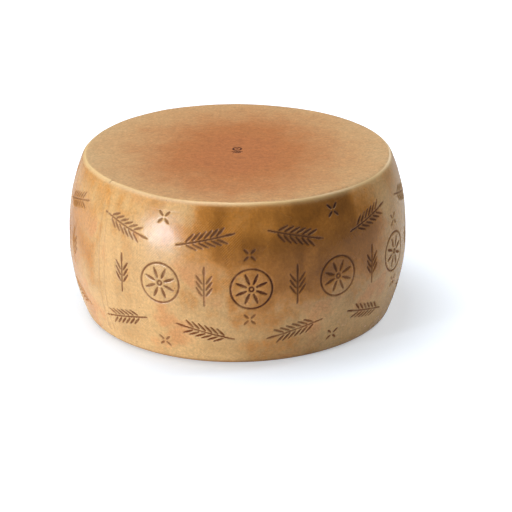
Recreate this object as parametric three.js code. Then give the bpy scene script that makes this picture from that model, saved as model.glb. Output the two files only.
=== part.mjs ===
// A whole wheel of hard grana-style cheese, in millimetres, +Z up.
// The origin is the centre of the flat face that the wheel rests on, and the camera side is -Y.
// The wheel is one solid: a barrel turned about Z, then made as uneven as a real rind.
import * as THREE from "three";

// Driving dimensions
const height = 208; // flat face to flat face
const widestRadius = 215; // at the belly
const widestHeight = 93; // the belly sits a little below the middle
const rimRadius = 193.6; // where the side would meet the top with no rounding
const footRadius = 194; // where the side would meet the base with no rounding
const upperPower = 2.56; // how late the side turns in above the belly
const lowerPower = 1.8; // the same below it
const rimRounding = 4.6; // radius of the worn edge round the top
const footRounding = 7; // radius of the edge that it stands on
const topDish = 1.2; // how far the middle of the top lies below its edge

// How finely the form is faceted
const turns = 96;
const sideSteps = 15;
const rimSteps = 5;
const footSteps = 4;
const faceRadii = [0.94, 0.78, 0.52, 0.26]; // rings of the flat faces, as shares of their edge

// Low waves round the side: how many to a turn, how deep, and where they start
const sideWaves = [
  { count: 2, depth: 0.45, start: 0.5 },
  { count: 3, depth: 0.6, start: 1.9 },
  { count: 5, depth: 0.35, start: 0.3 },
];

// Places round the rim that sank or stood up as the wheel drained: angle and half width in degrees.
const rimSettles = [
  { angle: -22, spread: 17, rise: -1.9 },
  { angle: -58, spread: 20, rise: 0.6 },
  { angle: 36, spread: 24, rise: 0.5 },
  { angle: 140, spread: 30, rise: -0.8 },
];

const settleFrom = 0.6; // the share of the height above which the rind gave way

const degrees = Math.PI / 180;

// Radius of the side at a height, before its edges are rounded
function sideRadius(z) {
  if (z > widestHeight) {
    const share = (z - widestHeight) / (height - widestHeight);
    return widestRadius - (widestRadius - rimRadius) * share ** upperPower;
  }
  const share = (widestHeight - z) / widestHeight;
  return widestRadius - (widestRadius - footRadius) * share ** lowerPower;
}

// How much a rounding of this radius takes off the side at a distance from the flat face
function roundingLoss(radius, fromFace) {
  if (fromFace >= radius) return 0;
  return radius - Math.sqrt(radius ** 2 - (radius - fromFace) ** 2);
}

// Half of the wheel's section, from the middle of the base, out and up to the middle of the top
function wheelProfile() {
  const points = [];
  const flatFoot = footRadius - footRounding;
  const flatRim = rimRadius - rimRounding;
  points.push(new THREE.Vector2(0, 0));
  for (const share of [...faceRadii].reverse()) {
    points.push(new THREE.Vector2(flatFoot * share, 0));
  }
  for (let i = 0; i < footSteps; i++) {
    const z = footRounding * (1 - Math.cos((i / footSteps) * 90 * degrees));
    points.push(new THREE.Vector2(sideRadius(z) - roundingLoss(footRounding, z), z));
  }
  for (let i = 0; i <= sideSteps; i++) {
    const z = footRounding + ((height - rimRounding - footRounding) * i) / sideSteps;
    points.push(new THREE.Vector2(sideRadius(z), z));
  }
  for (let i = 1; i <= rimSteps; i++) {
    const z = height - rimRounding * (1 - Math.sin((i / rimSteps) * 90 * degrees));
    points.push(new THREE.Vector2(sideRadius(z) - roundingLoss(rimRounding, height - z), z));
  }
  for (const share of faceRadii) {
    points.push(new THREE.Vector2(flatRim * share, height - topDish * (1 - share ** 2)));
  }
  points.push(new THREE.Vector2(0, height - topDish));
  return points;
}

// 1 at an angle, falling to 0 away from it, both in degrees
function near(angle, middle, spread) {
  const away = ((angle - middle + 540) % 360) - 180;
  return Math.exp(-((away / spread) ** 2));
}

// Moves a point of the turned barrel to where the uneven rind has it
function unevenPoint(point) {
  const radius = Math.hypot(point.x, point.y);
  if (radius === 0) return;
  const angle = Math.atan2(point.x, -point.y);
  let swell = 0;
  for (const wave of sideWaves) swell += wave.depth * Math.cos(wave.count * angle + wave.start);
  let rise = 0;
  for (const settle of rimSettles) {
    rise += settle.rise * near(angle / degrees, settle.angle, settle.spread);
  }
  const outward = Math.min((radius / rimRadius) ** 2, 1); // the flat faces move less to their middle
  const scale = (radius + swell * outward) / radius;
  point.x *= scale;
  point.y *= scale;
  point.z += rise * outward * THREE.MathUtils.smoothstep(point.z, height * settleFrom, height);
}

function wheelGeometry() {
  const geometry = new THREE.LatheGeometry(wheelProfile(), turns);
  geometry.rotateX(90 * degrees);
  const place = geometry.getAttribute("position");
  const point = new THREE.Vector3();
  for (let i = 0; i < place.count; i++) {
    point.fromBufferAttribute(place, i);
    unevenPoint(point);
    place.setXYZ(i, point.x, point.y, point.z);
  }
  geometry.computeVertexNormals();
  return geometry;
}

const rind = new THREE.MeshStandardMaterial({ color: 0xd9a468, roughness: 0.5, metalness: 0 });
const wheel = new THREE.Mesh(wheelGeometry(), rind);
wheel.name = "cheese_wheel";

const part = new THREE.Group();
part.add(wheel);

export default part;
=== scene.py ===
import math

import bpy
import numpy as np
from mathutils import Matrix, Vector
from mathutils.kdtree import KDTree


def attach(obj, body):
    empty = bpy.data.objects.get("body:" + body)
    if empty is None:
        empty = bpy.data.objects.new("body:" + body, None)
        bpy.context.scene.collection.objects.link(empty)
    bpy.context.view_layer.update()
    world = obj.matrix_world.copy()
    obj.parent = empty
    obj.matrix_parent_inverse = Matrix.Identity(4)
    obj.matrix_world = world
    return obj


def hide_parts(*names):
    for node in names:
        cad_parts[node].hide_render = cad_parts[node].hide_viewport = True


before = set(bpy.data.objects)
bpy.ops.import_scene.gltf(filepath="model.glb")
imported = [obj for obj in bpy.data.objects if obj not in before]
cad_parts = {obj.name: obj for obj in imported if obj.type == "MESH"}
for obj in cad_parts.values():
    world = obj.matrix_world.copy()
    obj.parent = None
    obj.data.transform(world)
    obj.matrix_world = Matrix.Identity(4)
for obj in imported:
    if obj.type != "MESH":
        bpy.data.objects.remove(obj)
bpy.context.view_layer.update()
bpy.ops.object.select_all(action='DESELECT')
mm = 0.001  # sizes are in mm and angles in degrees, Blender's are in metres and radians

# The camera stands 2.6 m off with a long lens and looks down on the wheel.
camera = {
    "side": 23.8,
    "back": 2373,
    "height": 1014.8,
    "lookDown": 21.86,
    "lens": 139.4,
}


def placeCamera():
    bpy.ops.object.camera_add(
        location=(camera["side"] * mm, -camera["back"] * mm, camera["height"] * mm),
        rotation=(math.radians(90 - camera["lookDown"]), 0, 0))
    cameraObject = bpy.context.object
    cameraObject.data.lens = camera["lens"]
    cameraObject.data.sensor_width = 36
    bpy.context.scene.camera = cameraObject


placeCamera()
print("camera placed")

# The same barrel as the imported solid, and as uneven. Angles count from the front, below 0 to the left.
wheel = {
    "height": 208,
    "widestRadius": 215,
    "widestHeight": 93,
    "rimRadius": 193.6,
    "footRadius": 194,
    "upperPower": 2.56,
    "lowerPower": 1.8,
    "rimRounding": 4.6,
    "footRounding": 7,
    "topDish": 1.2,
    "sideWaves": [(2, 0.45, 0.5), (3, 0.6, 1.9), (5, 0.35, 0.3)],  # how many to a turn, depth, start
    "rimSettles": [(-22, 17, -1.9), (-58, 20, 0.6), (36, 24, 0.5), (140, 30, -0.8)],  # angle, spread, rise
    "settleFrom": 0.6,
    "turns": 172,
    "ringStep": 7.8,
    "roundingSteps": 6,
    "hoopLines": [(194.5, 0.06), (10.5, 0.12)],  # height and depth of what the mould's edges left
    "hoopWidth": 1.1,
    "lumpSize": 36,
    "lumpHeight": 0.9,
    # where the edge of the top is worn pale, and lighter still as a painted highlight along its crest, turned
    # and widened to the right to follow it: degrees round its rounding, less to the left
    "wornAndHighlightAt": 38,
    "wornAndHighlightTurns": [(-30, 32, -26), (38, 36, 32)],  # angle, spread, degrees
    "wornAndHighlightWider": (45, 30, 0.3),  # the pale stretch under it, wider to the right
}
flatRim = wheel["rimRadius"] - wheel["rimRounding"]


# 0 below low, 1 above high, and an easy slope between them
def ease(value, low, high):
    share = np.clip((value - low) / (high - low), 0, 1)
    return share * share * (3 - 2 * share)


# 1 at an angle, falling to 0 away from it
def nearAngle(angle, middle, spread):
    away = (angle - middle + 540) % 360 - 180
    return np.exp(-(away / spread) ** 2)


# Radius of the side at a height, before its edges are rounded
def sideRadius(z):
    up = np.clip((z - wheel["widestHeight"]) / (wheel["height"] - wheel["widestHeight"]), 0, 1)
    down = np.clip((wheel["widestHeight"] - z) / wheel["widestHeight"], 0, 1)
    turnsIn = (wheel["widestRadius"] - wheel["rimRadius"]) * up ** wheel["upperPower"]
    tucksIn = (wheel["widestRadius"] - wheel["footRadius"]) * down ** wheel["lowerPower"]
    return wheel["widestRadius"] - turnsIn - tucksIn


# What a rounding takes off the side at a distance from the flat face
def roundingLoss(rounding, fromFace):
    within = np.clip(rounding - fromFace, 0, rounding)
    return rounding - np.sqrt(rounding ** 2 - within ** 2)


# Radius and height of each ring, from the edge of the base up to the edge of the top
def barrelRings():
    height, rim, foot = wheel["height"], wheel["rimRounding"], wheel["footRounding"]
    steps = wheel["roundingSteps"]
    quarter = [math.pi / 2 * i / steps for i in range(steps + 1)]
    beside = [k * wheel["hoopWidth"] for k in (-1.6, -0.8, 0, 0.8, 1.6)]
    hoops = [line + shift for line, depth in wheel["hoopLines"] for shift in beside]
    count = round((height - rim - foot) / wheel["ringStep"])
    evenly = [foot + (height - rim - foot) * i / count for i in range(1, count)]
    evenly = [z for z in evenly if min(abs(z - hoop) for hoop in hoops) > 2]
    heights = [foot * (1 - math.cos(a)) for a in quarter]
    heights += sorted(evenly + hoops)
    heights += [height - rim * (1 - math.sin(a)) for a in quarter]
    return [(sideRadius(z) - roundingLoss(foot, z) - roundingLoss(rim, height - z), z) for z in heights]


def onlySelect(mesh, kind, chosen):
    bpy.ops.object.mode_set(mode='OBJECT')
    for part in (mesh.vertices, mesh.edges, mesh.polygons):
        part.foreach_set("select", np.zeros(len(part), bool))
    getattr(mesh, kind).foreach_set("select", np.asarray(chosen, bool))
    bpy.context.tool_settings.mesh_select_mode = (kind == "vertices", kind == "edges", kind == "polygons")
    bpy.ops.object.mode_set(mode='EDIT')


def readAll(part, name, width):
    values = np.empty(len(part) * width)
    part.foreach_get(name, values)
    return values.reshape(-1, width) if width > 1 else values


def modelBarrel():
    rings = barrelRings()
    bpy.ops.mesh.primitive_circle_add(vertices=wheel["turns"], radius=rings[0][0] * mm, fill_type='NOTHING')
    barrel = bpy.context.object
    barrel.name = "cheeseWheel"
    bpy.ops.object.mode_set(mode='EDIT')
    bpy.ops.mesh.select_all(action='SELECT')
    for (radius, z), (wider, higher) in zip(rings, rings[1:]):
        bpy.ops.mesh.extrude_edges_move(TRANSFORM_OT_translate={"value": (0, 0, (higher - z) * mm)})
        scale = wider / radius
        bpy.ops.transform.resize(value=(scale, scale, 1), center_override=(0, 0, higher * mm))
    # both flat faces are filled with a square grid, which has no crowded middle as spokes would
    for face in (0, wheel["height"] * mm):
        bpy.ops.object.mode_set(mode='OBJECT')
        heights = readAll(barrel.data.vertices, "co", 3)[:, 2]
        ends = np.empty(len(barrel.data.edges) * 2, np.int32)
        barrel.data.edges.foreach_get("vertices", ends)
        onFace = np.abs(heights[ends.reshape(-1, 2)] - face).max(axis=1) < 1e-6
        onlySelect(barrel.data, "edges", onFace)
        bpy.ops.mesh.fill_grid(span=wheel["turns"] // 4)
    bpy.ops.mesh.select_all(action='SELECT')
    bpy.ops.mesh.normals_make_consistent(inside=False)
    bpy.ops.object.mode_set(mode='OBJECT')
    return barrel


barrel = modelBarrel()
print("barrel modelled:", len(barrel.data.polygons), "faces")

# Impressed marks. A stroke is a row of x, y and half width, along the side and up it.
marks = {
    "pitch": 30,  # degrees from one rosette to the next
    "firstAngle": -25,
    "seamAngle": -51,  # where the mould's ends meet
    "upperHeight": 166,
    "middleHeight": 107,
    "lowerHeight": 47,
    "flowerHeights": [(187, 27), (148, 66)],  # over and under every other rosette
    "tilt": 14,
    "line": 0.98,  # half width of a stroke
    "depth": 0.9,
    "shoulder": 0.7,
    "lip": 0.1,
    "spacing": 0.5,
    "stalk": 13,
    "sprigPairs": 6,
    "shortSprigPairs": 3,
    "grain": 12,
    "grainStep": 7.6,
    "grainLean": 35,
    "grainFoot": 2.5,  # from the stalk to the foot of a grain
    "rosetteRadius": 25,
    "eyeRadius": 2.6,
    "petals": 8,
    "petalReach": (7, 19.5),
    "smallPetalReach": (3, 9),
    "seamHeights": (16, 186),
    "faintest": (-75, 22, 0.3),  # where the marks took least: angle, spread, how much less
}


def stroke(start, end, halfWidth, belly=0.0):
    length = math.dist(start, end)
    t = np.linspace(0, 1, max(2, math.ceil(length / marks["spacing"]) + 1))
    width = halfWidth * (1 - belly + belly * np.sin(math.pi * np.clip(0.1 + 0.85 * t, 0, 1)))
    return np.column_stack([start[0] + (end[0] - start[0]) * t, start[1] + (end[1] - start[1]) * t, width])


def ringStroke(radius, halfWidth, x=0.0, y=0.0):
    count = math.ceil(2 * math.pi * radius / marks["spacing"])
    turn = np.arange(count) * 2 * math.pi / count
    return np.column_stack([x + radius * np.cos(turn), y + radius * np.sin(turn), np.full(count, halfWidth)])


# An ear of grain lying on its side
def sprig(pairs):
    grain, lean = marks["grain"], math.radians(marks["grainLean"])
    half = (marks["stalk"] + pairs * marks["grainStep"] + grain) / 2
    strokes = [stroke((-half, 0), (half - grain, 0), marks["line"] * 0.9)]
    for i in range(pairs):
        x = -half + marks["stalk"] + i * marks["grainStep"]
        for side in (-1, 1):
            foot = (x, side * marks["grainFoot"])
            tip = (x + grain * math.cos(lean), side * (marks["grainFoot"] + grain * math.sin(lean)))
            strokes.append(stroke(foot, tip, marks["line"] * 1.35, 0.6))
    strokes.append(stroke((half - grain + 1, 0), (half + 1, 0), marks["line"] * 1.35, 0.6))
    return strokes


# A ring round a flower of plain petals
def rosette():
    strokes = [ringStroke(marks[name], marks["line"]) for name in ("rosetteRadius", "eyeRadius")]
    for i in range(marks["petals"]):
        turn = 2 * math.pi * (i + 0.5) / marks["petals"]
        across = (math.cos(turn), math.sin(turn))
        ends = [[reach * c for c in across] for reach in marks["petalReach"]]
        strokes.append(stroke(*ends, marks["line"] * 1.7, 0.7))
    return strokes


# Four short petals, with no ring
def smallFlower():
    strokes = []
    for i in range(4):
        turn = math.pi / 2 * i
        across = (math.cos(turn), math.sin(turn))
        ends = [[reach * c for c in across] for reach in marks["smallPetalReach"]]
        strokes.append(stroke(*ends, marks["line"] * 1.35, 0.5))
    return strokes


impressed = {"points": [], "halfWidths": [], "depths": [], "stains": []}


def addStrokes(points, halfWidths, depth, stain):
    impressed["points"].append(np.asarray(points, float))
    impressed["halfWidths"].append(np.broadcast_to(halfWidths, len(points)))
    impressed["depths"].append(np.full(len(points), depth, float))
    impressed["stains"].append(np.full(len(points), stain, float))


def onSide(angle, z):
    radius = sideRadius(z)
    return np.column_stack([radius * np.sin(angle), -radius * np.cos(angle), z])


def press(strokes, angle, height, tilt=0.0, stain=1.0):
    tilt = math.radians(tilt)
    at, spread, less = marks["faintest"]
    for points in strokes:
        x = points[:, 0] * math.cos(tilt) - points[:, 1] * math.sin(tilt)
        y = points[:, 0] * math.sin(tilt) + points[:, 1] * math.cos(tilt)
        around = math.radians(angle) + x / sideRadius(height)
        took = stain * (1 - less * nearAngle(angle, at, spread))
        addStrokes(onSide(around, height + y), points[:, 2], marks["depth"] * (0.6 + 0.4 * took), took)


def layOutMarks():
    dice = np.random.default_rng(7)
    groups = round(360 / marks["pitch"])
    ear, shortEar = sprig(marks["sprigPairs"]), sprig(marks["shortSprigPairs"])
    for i in range(groups):
        angle = marks["firstAngle"] + marks["pitch"] * (i - 0.5)
        tilt = -marks["tilt"] * (-1) ** i
        off = dice.uniform(-1, 1, 9)
        press(ear, angle + off[0] * 0.6, marks["upperHeight"] + off[1], tilt + off[2], 0.85 + 0.15 * off[3])
        press(shortEar, angle + off[0] * 0.5, marks["middleHeight"] + off[7], 90 + off[8], 0.8 + 0.2 * off[2])
        turned = 180 - tilt + off[6]
        press(ear, angle + off[4] * 0.6, marks["lowerHeight"] + off[5], turned, 0.82 + 0.18 * off[7])
    # the last rosette is left out, where the mould's ends meet
    for i in range(groups - 1):
        angle = marks["firstAngle"] + marks["pitch"] * i
        off = dice.uniform(-1, 1, 4)
        press(rosette(), angle, marks["middleHeight"] + off[0], 0, 0.85 + 0.15 * off[1])
        for height in marks["flowerHeights"][i % 2]:
            press(smallFlower(), angle + off[2] * 0.5, height + off[3], 45, 0.82 + 0.18 * off[0])
    # the mould's overlapping ends leave a low ridge, and a fainter one beside it
    seam = np.arange(*marks["seamHeights"], marks["spacing"])
    for shift, height in ((0, -0.3), (2.6, -0.16)):
        around = np.full(len(seam), math.radians(marks["seamAngle"] + shift))
        addStrokes(onSide(around, seam), 1.0, height, 0.12)
    # a nick in the edge of the top
    bend = np.radians(np.arange(-20, 120, 5))
    rounding = wheel["rimRounding"]
    out, z = flatRim + rounding * np.cos(bend), wheel["height"] - rounding * (1 - np.sin(bend))
    nickAngle = math.radians(marks["seamAngle"] - 1)
    addStrokes(np.column_stack([out * math.sin(nickAngle), -out * math.cos(nickAngle), z]), 0.9, 0.9, 0.45)
    # a small round stamp at the middle of the top, over two short bars
    top = wheel["height"] - wheel["topDish"]
    for points in [ringStroke(5.2, 0.8, 0, 5), stroke((-0.6, 5), (0.6, 5), 1.0),
                   stroke((-6, -5), (6, -5), 0.8), stroke((-4, -8.6), (4, -8.6), 0.8)]:
        flat = np.column_stack([points[:, 0], points[:, 1], np.full(len(points), top)])
        addStrokes(flat, points[:, 2], 0.25, 1.35)
    return {name: np.concatenate(rows) for name, rows in impressed.items()}


def findTree(points):
    tree = KDTree(len(points))
    for i, point in enumerate(points):
        tree.insert(point, i)
    tree.balance()
    return tree


# Cuts the faces near the strokes into four, three times over, so that the side has fine faces only there
def refineNear(barrel, tree, reaches):
    for reach in reaches:
        centres = readAll(barrel.data.polygons, "center", 3) / mm
        onlySelect(barrel.data, "polygons", [tree.find(centre)[2] < reach for centre in centres])
        bpy.ops.mesh.subdivide(number_cuts=1)
        bpy.ops.object.mode_set(mode='OBJECT')


allMarks = layOutMarks()
markTree = findTree(allMarks["points"])
refineNear(barrel, markTree, (6.8, 4.3, 2.9))
print("faces near the marks refined:", len(barrel.data.polygons), "faces")


# Puts every point of the faceted barrel on its true surface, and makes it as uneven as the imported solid
def settleBarrel(barrel):
    mesh = barrel.data
    points = readAll(mesh.vertices, "co", 3) / mm
    height, rim, foot = wheel["height"], wheel["rimRounding"], wheel["footRounding"]
    radius = np.hypot(points[:, 0], points[:, 1])
    angle = np.arctan2(points[:, 0], -points[:, 1])
    z = points[:, 2]
    side = (z > foot + 0.01) & (z < height - rim - 0.01)
    radius = np.where(side, sideRadius(z), radius)
    top = z > height - 0.01
    z = np.where(top, height - wheel["topDish"] * (1 - np.minimum(radius / flatRim, 1) ** 2), z)
    section = np.column_stack([radius, z])
    swell = sum(depth * np.cos(count * angle + start) for count, depth, start in wheel["sideWaves"])
    rise = sum(up * nearAngle(np.degrees(angle), at, spread) for at, spread, up in wheel["rimSettles"])
    outward = np.minimum((radius / wheel["rimRadius"]) ** 2, 1)
    radius = radius + swell * outward
    z = z + rise * outward * ease(z, height * wheel["settleFrom"], height)
    points = np.column_stack([radius * np.sin(angle), -radius * np.cos(angle), z])
    mesh.vertices.foreach_set("co", (points * mm).ravel())
    mesh.update()
    return section, angle


# Low lumps all over the rind, none on the base that the wheel stands on
def addLumps(barrel, section):
    group = barrel.vertex_groups.new(name="rind")
    weights = ease(section[:, 1], 0, wheel["footRounding"] * 2)
    for step in range(11):
        members = np.nonzero(np.round(weights * 10) == step)[0]
        group.add(members.tolist(), step / 10, 'REPLACE')
    clouds = bpy.data.textures.new("rindLumps", 'CLOUDS')
    clouds.noise_scale = wheel["lumpSize"] * mm
    clouds.noise_depth = 1
    displace = barrel.modifiers.new("rindLumps", 'DISPLACE')
    displace.texture = clouds
    displace.texture_coords = 'LOCAL'
    displace.strength = wheel["lumpHeight"] * mm
    displace.mid_level = 0.5
    displace.vertex_group = group.name
    bpy.ops.object.modifier_apply(modifier=displace.name)


def storeAttribute(mesh, name, values):
    attribute = mesh.attributes.new(name, 'FLOAT', 'POINT')
    attribute.data.foreach_set("value", np.asarray(values, np.float32))


# Presses the strokes into the rind, with a low lip beside each, and keeps where they are for the stain
def pressMarks(barrel, ideal, section, angle):
    mesh = barrel.data
    found = [markTree.find(point)[1:] for point in ideal]
    nearest = np.array([index for index, distance in found])
    distance = np.array([distance for index, distance in found])
    halfWidth, depth = allMarks["halfWidths"][nearest], allMarks["depths"][nearest]
    shoulder = marks["shoulder"]
    groove = 1 - ease(distance, halfWidth - shoulder * 0.6, halfWidth + shoulder)
    lip = marks["lip"] * np.exp(-((distance - halfWidth - shoulder * 1.5) / 0.7) ** 2) * np.sign(depth)
    hoop = sum(deep * np.exp(-((section[:, 1] - line) / wheel["hoopWidth"]) ** 2)
               for line, deep in wheel["hoopLines"])
    hoop *= 0.5 + 0.5 * np.cos(3 * angle + 1.2)
    down = (groove * depth - lip + hoop) * mm
    points = readAll(mesh.vertices, "co", 3)
    normals = readAll(mesh.vertices, "normal", 3)
    mesh.vertices.foreach_set("co", (points - normals * down[:, None]).ravel())
    stained = 1 - ease(distance, halfWidth - 0.1, halfWidth + 0.65)
    storeAttribute(mesh, "imprint", allMarks["stains"][nearest] * stained)
    # the middle of the pale top edge, worn and partly a painted highlight, turned round the top to follow it
    rim = wheel["rimRounding"]
    turned = np.degrees(angle)
    bend = wheel["wornAndHighlightAt"] + sum(more * nearAngle(turned, at, spread)
                                 for at, spread, more in wheel["wornAndHighlightTurns"])
    bend = np.radians(bend)
    wornAndHighlight = np.column_stack([flatRim + rim * np.sin(bend), wheel["height"] - rim * (1 - np.cos(bend))])
    at, spread, more = wheel["wornAndHighlightWider"]
    wider = 1 + more * nearAngle(turned, at, spread)
    across, up = (section - wornAndHighlight).T
    away = np.hypot(across, up)
    storeAttribute(mesh, "topEdge", np.where(across > up, away / wider, -away))
    mesh.update()


def tidyMesh(barrel):
    sides = readAll(barrel.data.polygons, "loop_total", 1)
    onlySelect(barrel.data, "polygons", sides > 4)
    bpy.ops.mesh.quads_convert_to_tris(quad_method='BEAUTY', ngon_method='BEAUTY')
    bpy.ops.object.mode_set(mode='OBJECT')
    bpy.ops.object.shade_smooth()
    triangles = sum(len(face.vertices) - 2 for face in barrel.data.polygons)
    print("wheel finished:", triangles, "triangles")


section, angle = settleBarrel(barrel)
ideal = np.column_stack([section[:, 0] * np.sin(angle), -section[:, 0] * np.cos(angle), section[:, 1]])
addLumps(barrel, section)
pressMarks(barrel, ideal, section, angle)
tidyMesh(barrel)
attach(barrel, "root")
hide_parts("cheese_wheel")


def linear(hexColour):
    shades = [int(hexColour[i:i + 2], 16) / 255 for i in (1, 3, 5)]
    return tuple(c / 12.92 if c <= 0.04045 else ((c + 0.055) / 1.055) ** 2.4 for c in shades) + (1,)


def addNode(tree, kind, inputs, **settings):
    node = tree.nodes.new(kind)
    for name, value in settings.items():
        setattr(node, name, value)
    for socket, value in inputs.items():
        if isinstance(value, bpy.types.NodeSocket):
            tree.links.new(value, node.inputs[socket])
        else:
            node.inputs[socket].default_value = value
    return node


def addTones(tree, value, tones):
    ramp = addNode(tree, 'ShaderNodeValToRGB', {0: value})
    for step, (position, tone) in enumerate(tones):
        element = ramp.color_ramp.elements[step] if step < 2 else ramp.color_ramp.elements.new(position)
        element.position = position
        element.color = linear(tone)
    return ramp.outputs[0]


# A value brought from one range to another
def mapRange(tree, value, low=0, high=1, to=(0, 1), curve='LINEAR'):
    inputs = {0: value, 1: low, 2: high, 3: to[0], 4: to[1]}
    return addNode(tree, 'ShaderNodeMapRange', inputs, interpolation_type=curve).outputs[0]


def calculate(tree, operation, *values, **settings):
    inputs = dict(enumerate(values))
    return addNode(tree, 'ShaderNodeMath', inputs, operation=operation, **settings).outputs[0]


def vectorMath(tree, operation, *values, output="Vector"):
    inputs = dict(enumerate(values))
    return addNode(tree, 'ShaderNodeVectorMath', inputs, operation=operation).outputs[output]


def mixColours(tree, share, first, second, blend='MIX'):
    inputs = {0: share, 6: first, 7: second}
    return addNode(tree, 'ShaderNodeMix', inputs, data_type='RGBA', blend_type=blend).outputs[2]


def mixValues(tree, share, first, second):
    return addNode(tree, 'ShaderNodeMix', {0: share, 2: first, 3: second}).outputs[0]


# Makes a colour lighter or darker, alike in red, green and blue
def shade(tree, colour, brightness):
    grey = addNode(tree, 'ShaderNodeCombineColor', {i: brightness for i in range(3)}).outputs[0]
    return mixColours(tree, 1, colour, grey, 'MULTIPLY')


# Aged hard-cheese rind, brushed with oil: straw where it is clean, golden to brown where oil has soaked in, a
# satin gloss on the side, nearly matt on the faces. Some oil patches are partly painted shade, and the pale
# top edge is partly a painted highlight.
rind = {
    # clouds of noise: size, detail, roughness, distortion, and how place is scaled, less for longer clouds
    "clouds": {
        "blotch": (55, 3, 0.5, 0.3, (1, 1, 1)),
        "streak": (24, 5, 0.6, 0, (1, 1, 0.16)),
        "mottle": (8, 5, 0.65, 0, (1, 1, 1)),
        "brushed": (8, 6, 0.7, 0, (0.6, 1, 1)),
        "grain": (3.2, 2, 0.5, 0, (1, 1, 1)),
        "grit": (1.8, 2, 0.5, 0, (1, 1, 1)),
    },
    "tones": [(0.0, "#E0B880"), (0.3, "#CCA36D"), (0.55, "#C18746"), (0.75, "#AA702D"), (1.0, "#89571D")],
    # the pale top edge, worn, and lightened further as a painted highlight
    "wornAndHighlightTone": "#EACB92",
    "imprintPale": "#743C12",
    "imprintDark": "#381201",
    "speck": "#6B3F1E",
    "speckSpacing": 11,
    "blush": "#FAE3D8",
    "faceTones": [(0.22, "#B4703E"), (0.36, "#B67541"), (0.5, "#BC8250"), (0.74, "#C79B6A"),
                  (0.95, "#CAA677")],
    "faceCentre": (2, -14),  # the redder middle lies a little off the axis, and is longer than wide
    "faceStretch": (1.1, 0.82, 1),
    "faceReach": 220,
    "faceWaver": 60,
    # the oil that each cloud, and the height in metres, brings: from, to, least and most
    "soakedBy": [("blotch", 0.38, 0.64, 0.03, 0.18), ("streak", 0.35, 0.65, -0.05, 0.11),
                 ("mottle", 0.3, 0.7, -0.07, 0.07), ("z", 0.02, 0.16, 0, 0.13)],
    # where more oil has soaked in, less where the strength is below 0: angle, reach as cosines, height range
    # and strength. Those at -66 and -100 are partly painted shade, where the side turns away from the key
    # light; the one at 17 makes the foot darker on the front right, the one at -45 lighter on the front left
    "oilAndShadePatches": [(20, 0.7, 0.94, 35, 135, 0.46), (15, 0.94, 0.995, 55, 90, 0.28),
                   (12, 0.96, 0.995, 160, 184, -0.26), (3, 0.985, 0.999, 90, 106, -0.24),
                   (1, 0.985, 0.999, 120, 140, 0.25), (33, 0.95, 0.99, 138, 158, 0.15),
                   (33, 0.95, 0.99, 166, 186, 0.08), (17, 0.95, 0.995, 50, 30, 0.28),
                   (-12, 0.985, 0.998, 125, 140, 0.1), (-12, 0.985, 0.998, 150, 180, -0.12),
                   (-29, 0.975, 0.998, 172, 190, 0.08), (-20, 0.988, 0.999, 174, 190, -0.2),
                   (-66, 0.955, 0.995, 55, 125, 0.28), (-69, 0.945, 0.998, 160, 185, -0.32),
                   (-45, 0.6, 0.8, 26, 12, -0.24), (-100, 0.7, 0.97, 30, 70, 0.22),
                   (165, 0.4, 1.0, 40, 170, 0.25), (-125, 0.6, 1.0, 60, 180, 0.2)],
    "patchWaver": (1.5, 1.2),  # how far the blotches move a patch's edges, as shares of their slopes
    "bandHeights": (-15, 5),  # where the band under the edge starts and is full, from the top
    "bandStrengths": (0.12, 0.04),
    "bandLeast": 36,  # the angle where it shows least
    "bandWaver": 30,
    # how much lighter and darker the fine mottling makes the rind
    "mottling": [("mottle", 0.9, 1.1), ("grain", 0.89, 1.11), ("grit", 0.93, 1.07)],
    "wornAndHighlightDown": 7.5,  # how far the pale edge reaches down the side, and in over the top
    "wornAndHighlightIn": 1.5,
    # palest on the right, where the pale edge stands in as a painted highlight
    "wornAndHighlightMost": 50,  # the angle where it is palest
    # from one thread of the cloth's print to the next, coarser than real cloth, because finer doesn't show
    "weave": 3.3,
    "weaveTurns": 409,
    "weaveWaver": 5,
    "fallingThreads": 0.4,  # how deep the falling threads are beside the rising ones
    "printAngle": -16,  # where the cloth's print is deepest
    "printHeights": (112, 182),
    "printFade": 15,
    "printFaintest": 0.15,
    "roughness": 0.258,
    "faceRoughness": 0.6,
    "imprintRoughness": 0.9,
    "wornRoughness": 0.26,
}


def towardsAngle(angle):
    return (math.sin(math.radians(angle)), -math.cos(math.radians(angle)), 0)


# How squarely the side faces an angle: 1 at the angle, 0 a quarter turn from it
def facingAngle(tree, layers, angle):
    return vectorMath(tree, 'DOT_PRODUCT', layers["outward"], towardsAngle(angle), output="Value")


# The places and clouds of noise that the rind's layers share
def addLayers(tree):
    place = addNode(tree, 'ShaderNodeTexCoord', {}).outputs["Object"]
    flat = vectorMath(tree, 'MULTIPLY', place, (1, 1, 0))
    layers = {"place": place, "flat": flat, "outward": vectorMath(tree, 'NORMALIZE', flat)}
    layers["x"], layers["y"], layers["z"] = addNode(tree, 'ShaderNodeSeparateXYZ', {0: place}).outputs
    for name, (size, detail, roughness, distortion, scaled) in rind["clouds"].items():
        inputs = {"Vector": vectorMath(tree, 'MULTIPLY', place, scaled), "Scale": 1000 / size,
                  "Detail": detail, "Roughness": roughness, "Distortion": distortion}
        layers[name] = addNode(tree, 'ShaderNodeTexNoise', inputs).outputs[0]
    layers["waver"] = calculate(tree, 'ADD', layers["blotch"], -0.5)
    layers["cloudy"] = calculate(tree, 'ADD', layers["streak"], -0.5)
    return layers
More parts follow.
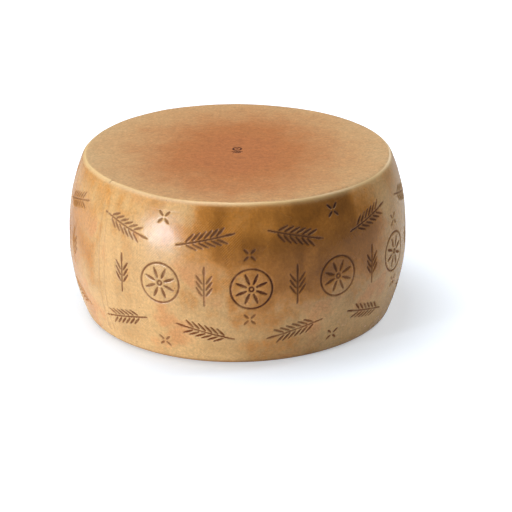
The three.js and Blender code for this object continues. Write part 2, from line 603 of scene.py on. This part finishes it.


# How much oil has soaked in, from 0 to 1, with painted shade in some patches: blotches, runs, patches and the
# band under the top edge
def soakOilAndPaintShade(tree, layers):
    stain = 0
    for name, low, high, least, most in rind["soakedBy"]:
        stain = calculate(tree, 'ADD', stain, mapRange(tree, layers[name], low, high, (least, most)))
    aside, upwards = rind["patchWaver"]
    waver, z = layers["waver"], layers["z"]
    # each patch adds oil stain, and those on the far left partly painted shade
    for angle, low, high, lowest, highest, strength in rind["oilAndShadePatches"]:
        facing = facingAngle(tree, layers, angle)
        facing = calculate(tree, 'MULTIPLY_ADD', waver, aside * (high - low), facing)
        facing = mapRange(tree, facing, low, high, (0, strength), 'SMOOTHSTEP')
        level = calculate(tree, 'MULTIPLY_ADD', waver, upwards * abs(highest - lowest) * mm, z)
        level = mapRange(tree, level, lowest * mm, highest * mm, curve='SMOOTHSTEP')
        stain = calculate(tree, 'MULTIPLY_ADD', facing, level, stain)
    facing = facingAngle(tree, layers, rind["bandLeast"])
    facing = mapRange(tree, facing, 0.35, 0.8, rind["bandStrengths"], 'SMOOTHSTEP')
    level = calculate(tree, 'MULTIPLY_ADD', layers["streak"], rind["bandWaver"] * mm, z)
    start, full = [(wheel["height"] + shift) * mm for shift in rind["bandHeights"]]
    under = mapRange(tree, level, start, full, curve='SMOOTHSTEP')
    return calculate(tree, 'MULTIPLY_ADD', facing, under, stain)


# The oiled side, a little pinker where it is clean
def sideColour(tree, layers, stain):
    side = addTones(tree, stain, rind["tones"])
    blush = mapRange(tree, layers["blotch"], 0.48, 0.34, curve='SMOOTHSTEP')
    clean = mapRange(tree, stain, 0.25, 0.5, (1, 0.1))
    blush = calculate(tree, 'MULTIPLY', blush, clean)
    return mixColours(tree, blush, side, linear(rind["blush"]), 'MULTIPLY')


# The flat faces, redder to their middle
def faceColour(tree, layers):
    x, y = rind["faceCentre"]
    inward = vectorMath(tree, 'SUBTRACT', layers["flat"], (x * mm, y * mm, 0))
    inward = vectorMath(tree, 'MULTIPLY', inward, rind["faceStretch"])
    radius = vectorMath(tree, 'LENGTH', inward, output="Value")
    for name in ("waver", "cloudy"):
        radius = calculate(tree, 'MULTIPLY_ADD', layers[name], -rind["faceWaver"] * mm, radius)
    radius = mapRange(tree, radius, 0, rind["faceReach"] * mm)
    lightness = mapRange(tree, layers["brushed"], 0.3, 0.7, (0.94, 1.06))
    return shade(tree, addTones(tree, radius, rind["faceTones"]), lightness)


# Fine mottling and scattered specks
def mottle(tree, layers, colour):
    brightness = 1
    for name, dark, light in rind["mottling"]:
        shades = mapRange(tree, layers[name], 0.3, 0.7, (dark, light))
        brightness = calculate(tree, 'MULTIPLY', brightness, shades)
    colour = shade(tree, colour, brightness)
    spots = {"Vector": layers["place"], "Scale": 1000 / rind["speckSpacing"]}
    speck = addNode(tree, 'ShaderNodeTexVoronoi', spots).outputs["Distance"]
    speck = mapRange(tree, speck, 0.1, 0.05)
    rare = mapRange(tree, layers["mottle"], 0.5, 0.6, (0, 0.6))
    speck = calculate(tree, 'MULTIPLY', speck, rare)
    return mixColours(tree, speck, colour, linear(rind["speck"]))


# How pale the edge of the top is, from 0 to 1: worn by handling, and partly a painted highlight along its
# crest
def wearAndHighlightEdge(tree, layers):
    fromEdge = addNode(tree, 'ShaderNodeAttribute', {}, attribute_name="topEdge").outputs["Fac"]
    fromEdge = calculate(tree, 'MULTIPLY_ADD', layers["cloudy"], 2, fromEdge)
    below = mapRange(tree, fromEdge, rind["wornAndHighlightDown"], 0, (0, 0.97))
    below = calculate(tree, 'POWER', below, 2)
    above = mapRange(tree, fromEdge, -rind["wornAndHighlightIn"], 0)
    fade = mapRange(tree, facingAngle(tree, layers, rind["wornAndHighlightMost"]), 0.3, 0.8, (0.8, 1))
    return calculate(tree, 'MULTIPLY', calculate(tree, 'MULTIPLY', below, above), fade)


# The print of the cloth: two sets of diagonal threads, a whole number to the turn
def printCloth(tree, layers):
    turn = calculate(tree, 'ARCTAN2', layers["x"], layers["y"])
    around = calculate(tree, 'MULTIPLY', turn, rind["weaveTurns"])
    around = calculate(tree, 'MULTIPLY_ADD', layers["mottle"], rind["weaveWaver"], around)
    climb = calculate(tree, 'MULTIPLY', layers["z"], 2000 * math.pi / rind["weave"])
    rising = calculate(tree, 'SINE', calculate(tree, 'ADD', around, climb))
    falling = calculate(tree, 'SINE', calculate(tree, 'SUBTRACT', around, climb))
    threads = calculate(tree, 'MULTIPLY_ADD', falling, rind["fallingThreads"], rising)
    printed = facingAngle(tree, layers, rind["printAngle"])
    printed = calculate(tree, 'MULTIPLY_ADD', layers["waver"], 0.2, printed)
    printed = mapRange(tree, printed, 0.95, 0.995, (0.12, 1), 'SMOOTHSTEP')
    for height, fade in zip(rind["printHeights"], (rind["printFade"], -rind["printFade"])):
        ends = [(height - fade) * mm, (height + fade) * mm]
        within = mapRange(tree, layers["z"], *ends, (rind["printFaintest"], 1), 'SMOOTHSTEP')
        printed = calculate(tree, 'MULTIPLY', printed, within)
    return calculate(tree, 'MULTIPLY', threads, printed)


# Each bump rests on the one before it
def addBumps(tree, bumps):
    normal = {}
    for height, strength, distance in bumps:
        inputs = {"Height": height, "Strength": strength, "Distance": distance * mm, **normal}
        normal = {"Normal": addNode(tree, 'ShaderNodeBump', inputs).outputs[0]}
    return normal["Normal"]


def makeRind():
    material = bpy.data.materials.new("agedCheeseRind")
    material.use_nodes = True
    tree = material.node_tree
    tree.nodes.clear()
    layers = addLayers(tree)
    # oil stain, with painted shade on the far left
    stain = soakOilAndPaintShade(tree, layers)
    normal = addNode(tree, 'ShaderNodeNewGeometry', {}).outputs["Normal"]
    upward = addNode(tree, 'ShaderNodeSeparateXYZ', {0: normal}).outputs[2]
    onFace = mapRange(tree, calculate(tree, 'ABSOLUTE', upward), 0.35, 0.85, curve='SMOOTHSTEP')
    colour = mixColours(tree, onFace, sideColour(tree, layers, stain), faceColour(tree, layers))
    colour = mottle(tree, layers, colour)
    # the pale top edge: worn, and partly a painted highlight along its crest
    wornAndHighlight = wearAndHighlightEdge(tree, layers)
    colour = mixColours(tree, wornAndHighlight, colour, linear(rind["wornAndHighlightTone"]))
    threads = printCloth(tree, layers)
    threadShade = mapRange(tree, threads, -1.4, 1.4, (0.94, 1.06))
    colour = mixColours(tree, onFace, shade(tree, colour, threadShade), colour)

    # old oil and dirt lie in the impressed marks, darkest where the rind is
    imprint = addNode(tree, 'ShaderNodeAttribute', {}, attribute_name="imprint").outputs["Fac"]
    patchy = mapRange(tree, layers["brushed"], 0.35, 0.55, (0.72, 1))
    dirt = calculate(tree, 'MULTIPLY', imprint, patchy, use_clamp=True)
    soaked = mapRange(tree, stain, 0.1, 0.75)
    dirtTone = mixColours(tree, soaked, linear(rind["imprintPale"]), linear(rind["imprintDark"]))
    colour = mixColours(tree, dirt, colour, dirtTone)

    satin = mapRange(tree, onFace, to=(rind["roughness"], rind["faceRoughness"]))
    satin = calculate(tree, 'MULTIPLY_ADD', layers["waver"], 0.2, satin)
    satin = calculate(tree, 'MULTIPLY_ADD', threads, 0.015, satin)
    satin = mixValues(tree, wornAndHighlight, satin, rind["wornRoughness"])
    roughness = mixValues(tree, dirt, satin, rind["imprintRoughness"])
    bump = addBumps(tree, [(threads, 0.5, 0.04), (layers["mottle"], 0.4, 0.6), (layers["grit"], 0.4, 0.15)])
    finish = {"Base Color": colour, "Roughness": roughness, "Normal": bump,
              "IOR": 1.45, "Specular Tint": (0.8, 0.86, 1.0, 1)}
    shader = addNode(tree, 'ShaderNodeBsdfPrincipled', finish)
    addNode(tree, 'ShaderNodeOutputMaterial', {0: shader.outputs[0]})
    return material


barrel.data.materials.clear()
barrel.data.materials.append(makeRind())
print("rind painted")

# A pale table and soft studio light. The key light stands low on the left, a large soft one hangs overhead.
studio = {
    "tableSize": 14000,
    "table": "#C9D5E3",
    "tableAround": "#E4E4E4",
    # the table glows only for the camera, dimmer near the wheel: painted shade round its foot
    "glowNearAsPaintedShade": 0.42,
    "glowBeyond": 0.78,
    "glowReach": (210, 420),  # from the wheel's middle
    "roomSeen": 1.05,
    "roomLight": 0.15,
    "keyAngle": -48.5,
    "keyHeight": 6.5,
    "keyDistance": 1900,
    "keySize": (250, 260),
    "keyPower": 20.5,
    "aimHeight": 110,
    "overheadHeight": 2000,
    "overheadAim": 150,
    "overheadSize": (1600, 1600),
    "overheadShift": (-600, 100),
    "overheadPower": 33,
    "backAngle": 150,
    "backHeight": 14,
    "backSize": (900, 500),
    "backPower": 3,
    "rimPlace": (1150, 0, 1500),
    "rimAim": 200,
    "rimSize": (160, 1000),
    "rimPower": 7,
}


def makeTable():
    bpy.ops.mesh.primitive_plane_add(size=studio["tableSize"] * mm)
    table = bpy.context.object
    table.name = "table"
    material = bpy.data.materials.new("whitePaintedTable")
    material.use_nodes = True
    tree = material.node_tree
    tree.nodes.clear()
    seen = addNode(tree, 'ShaderNodeLightPath', {}).outputs["Is Camera Ray"]
    place = addNode(tree, 'ShaderNodeTexCoord', {}).outputs["Object"]
    away = vectorMath(tree, 'LENGTH', place, output="Value")
    near, far = studio["glowReach"]
    # the dimmer glow near the wheel is painted shade round its foot
    glows = (studio["glowNearAsPaintedShade"], studio["glowBeyond"])
    glow = mapRange(tree, away, near * mm, far * mm, glows, 'SMOOTHSTEP')
    glow = calculate(tree, 'MULTIPLY', seen, glow)
    paint = mixColours(tree, seen, linear(studio["tableAround"]), linear(studio["table"]))
    finish = {"Base Color": paint, "Roughness": 0.9,
              "Emission Color": (1, 1, 1, 1), "Emission Strength": glow}
    shader = addNode(tree, 'ShaderNodeBsdfPrincipled', finish)
    addNode(tree, 'ShaderNodeOutputMaterial', {0: shader.outputs[0]})
    table.data.materials.append(material)


def makeRoom():
    world = bpy.data.worlds.new("whiteRoom")
    bpy.context.scene.world = world
    world.use_nodes = True
    tree = world.node_tree
    tree.nodes.clear()
    seen = addNode(tree, 'ShaderNodeLightPath', {}).outputs["Is Camera Ray"]
    strength = mapRange(tree, seen, to=(studio["roomLight"], studio["roomSeen"]))
    background = addNode(tree, 'ShaderNodeBackground', {"Color": (1, 1, 1, 1), "Strength": strength})
    addNode(tree, 'ShaderNodeOutputWorld', {0: background.outputs[0]})


def addSoftLight(name, location, target, size, power, shape='RECTANGLE'):
    bpy.ops.object.light_add(type='AREA', location=[c * mm for c in location])
    light = bpy.context.object
    light.name = name
    light.data.shape = shape
    light.data.size, light.data.size_y = [c * mm for c in size]
    light.data.energy = power
    away = light.location - Vector([c * mm for c in target])
    light.rotation_euler = away.to_track_quat('Z', 'Y').to_euler()


def aroundWheel(angle, lift, reach):
    angle, lift = math.radians(angle), math.radians(lift)
    level = reach * math.cos(lift)
    return (level * math.sin(angle), -level * math.cos(angle), studio["aimHeight"] + reach * math.sin(lift))


def lightScene():
    reach, aim = studio["keyDistance"], (0, 0, studio["aimHeight"])
    keyPlace = aroundWheel(studio["keyAngle"], studio["keyHeight"], reach)
    addSoftLight("keyLight", keyPlace, aim, studio["keySize"], studio["keyPower"], 'ELLIPSE')
    rimAim, overheadAim = (0, 0, studio["rimAim"]), (0, 0, studio["overheadAim"])
    addSoftLight("rimLight", studio["rimPlace"], rimAim, studio["rimSize"], studio["rimPower"])
    backPlace = aroundWheel(studio["backAngle"], studio["backHeight"], reach)
    addSoftLight("backLight", backPlace, aim, studio["backSize"], studio["backPower"])
    overheadPlace = (*studio["overheadShift"], studio["overheadHeight"])
    addSoftLight("overheadLight", overheadPlace, overheadAim, studio["overheadSize"], studio["overheadPower"])
    bpy.context.scene.view_settings.view_transform = 'Standard'


makeTable()
makeRoom()
lightScene()
print("table and lights placed")
